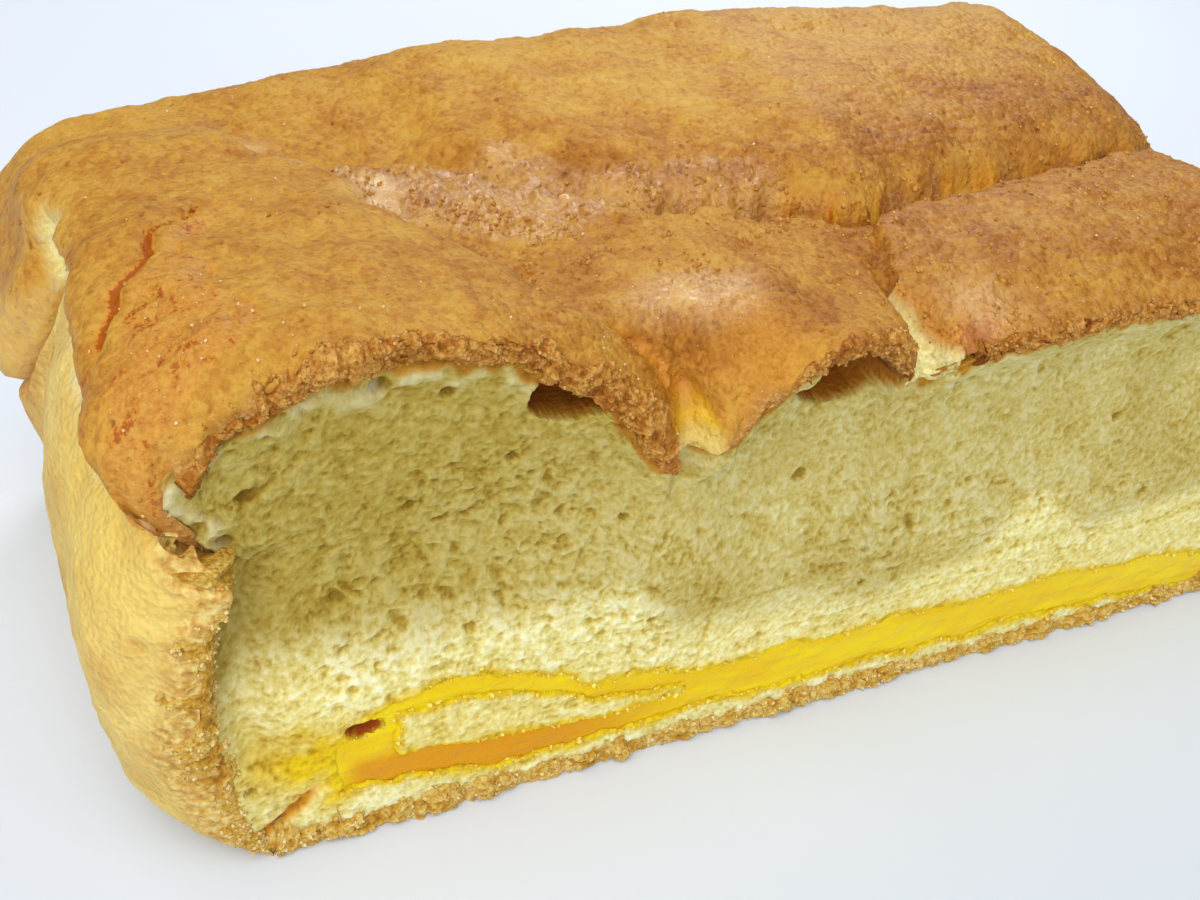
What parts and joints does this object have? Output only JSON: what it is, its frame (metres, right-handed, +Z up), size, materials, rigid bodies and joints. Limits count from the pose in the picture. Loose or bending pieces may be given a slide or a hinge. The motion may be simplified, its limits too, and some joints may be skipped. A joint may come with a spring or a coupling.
{
  "type": "castella sponge cake",
  "caption": "Block of sponge cake with a browned, cracked, lobed top crust, cut open along the front to show pale crumb and a melted cheese layer near its flat base.",
  "frame": {"origin": "centre of the block's box in plan, at the level of its flat base", "axes": "+Z up; +X along the block's length, to the right when facing the cut; the cut face looks to -Y"},
  "size_m": [0.1912, 0.1012, 0.0741],
  "materials": {
    "sponge": "matte, porous baked sponge with a browned top",
    "cheese": "wet satin, melted cheese"
  },
  "bodies": {
    "root": {"sponge": "sponge", "cheese_layer": "cheese"}
  },
  "joints": []
}
